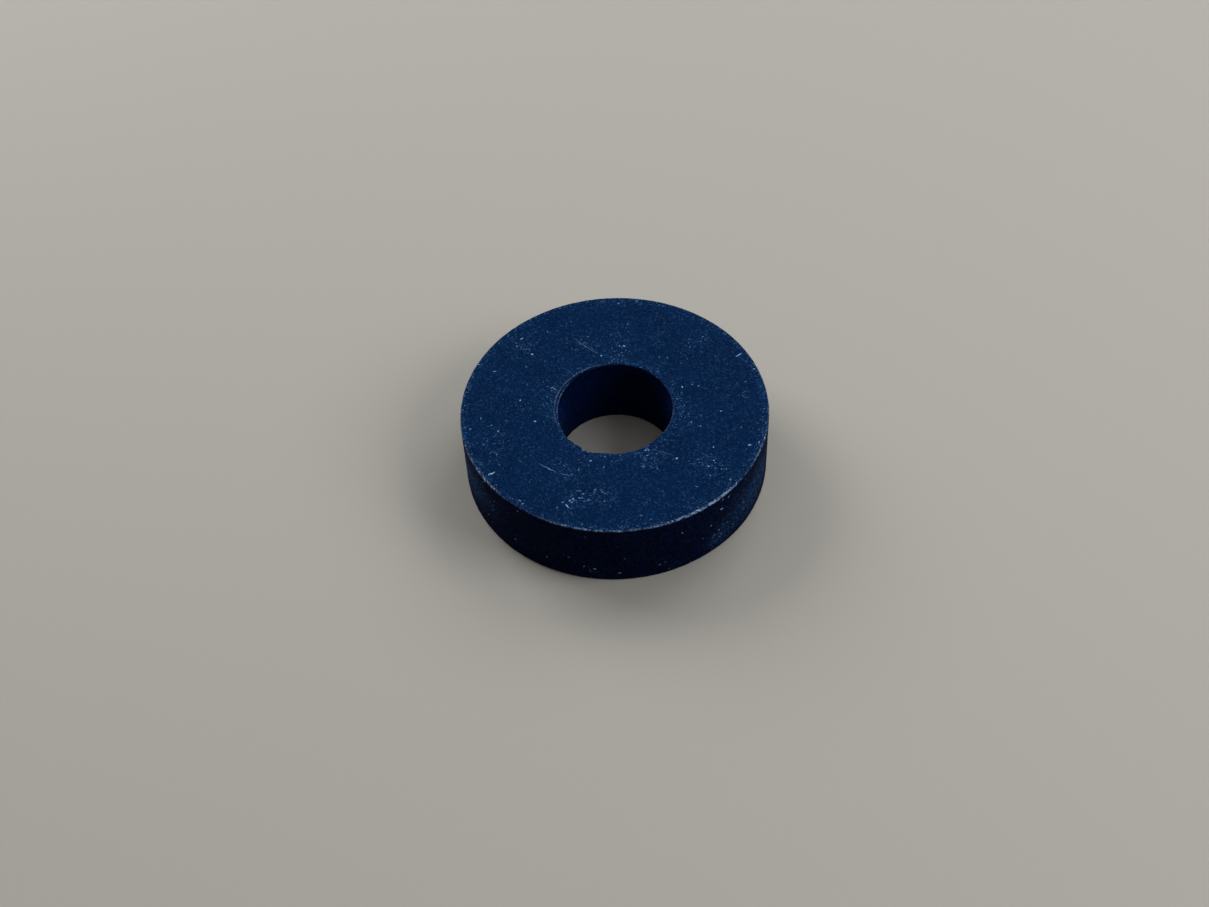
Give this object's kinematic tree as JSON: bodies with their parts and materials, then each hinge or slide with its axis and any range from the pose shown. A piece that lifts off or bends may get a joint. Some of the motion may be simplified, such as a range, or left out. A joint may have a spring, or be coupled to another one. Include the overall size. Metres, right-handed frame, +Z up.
{
  "type": "rubber ring",
  "caption": "Thick flat rubber ring with a straight outer wall and a plain bore through its centre, used as a washer, spacer or foot.",
  "frame": {"origin": "centre of the underside, where the ring rests", "axes": "+Z up along the bore axis, from the underside to the top face; X and Y lie across the ring, which is round about Z"},
  "size_m": [0.032, 0.032, 0.0082],
  "materials": {
    "rubber": "matt very dark navy rubber, fine grain, slightly dusty, worn pale along the outer rim"
  },
  "bodies": {
    "root": {"ring": "rubber"}
  },
  "joints": []
}
